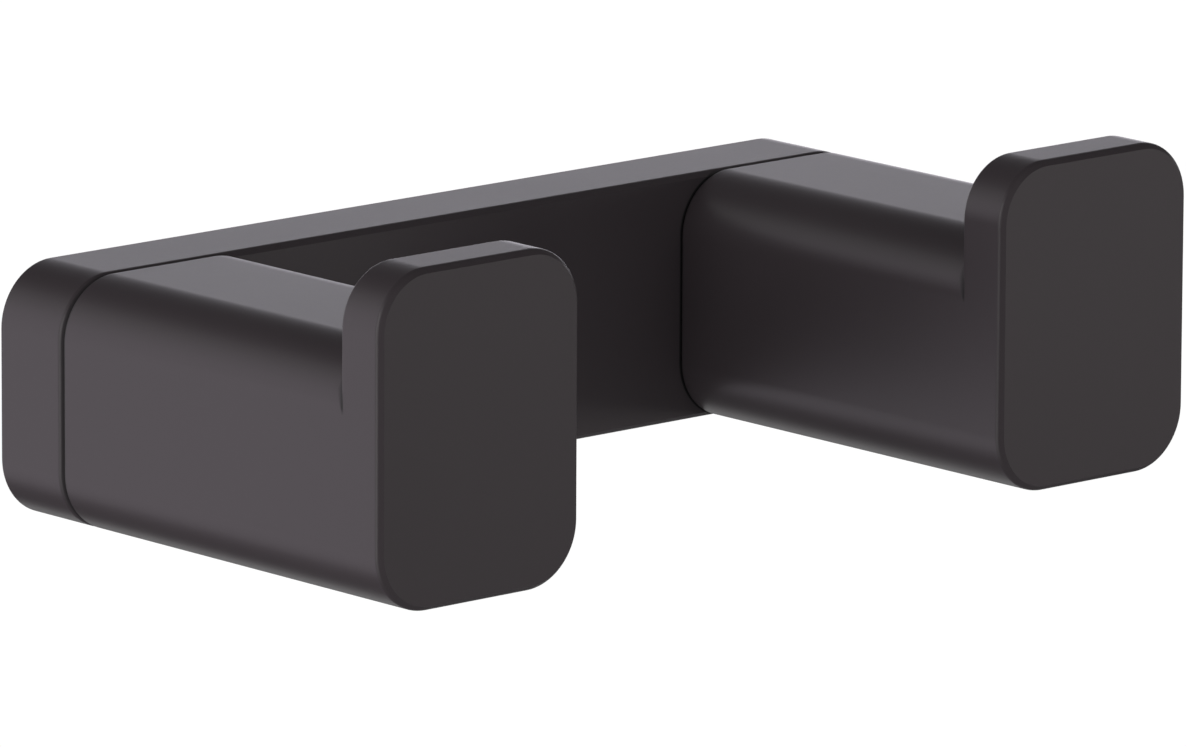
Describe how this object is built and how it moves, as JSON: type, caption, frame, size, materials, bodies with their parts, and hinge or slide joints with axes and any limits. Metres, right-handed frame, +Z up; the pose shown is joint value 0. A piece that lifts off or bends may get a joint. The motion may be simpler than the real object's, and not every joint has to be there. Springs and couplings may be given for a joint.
{
  "type": "double wall hook",
  "caption": "Wall bar with a square, lipped hook at each end, in matt dark grey. It hangs on a hidden dovetail bracket and is locked to it from below by grub screws.",
  "frame": {"origin": "middle of the bar's back face, in the plane of the wall, midway between the two wall screws", "axes": "+X along the bar, +Y into the wall, +Z up; the hooks stand out along -Y"},
  "size_m": [0.1, 0.0535, 0.0315],
  "materials": {
    "coating": "smooth matt dark grey powder coat on zinc castings",
    "screw_steel": "plain stainless steel",
    "bracket_aluminium": "plain extruded aluminium, cut and drilled"
  },
  "bodies": {
    "root": {"bar": "coating", "hook_left": "coating", "hook_right": "coating", "hook_screw_left": "screw_steel", "hook_screw_right": "screw_steel", "wall_bracket": "bracket_aluminium", "grub_screw_left": "screw_steel", "grub_screw_right": "screw_steel"}
  },
  "joints": []
}
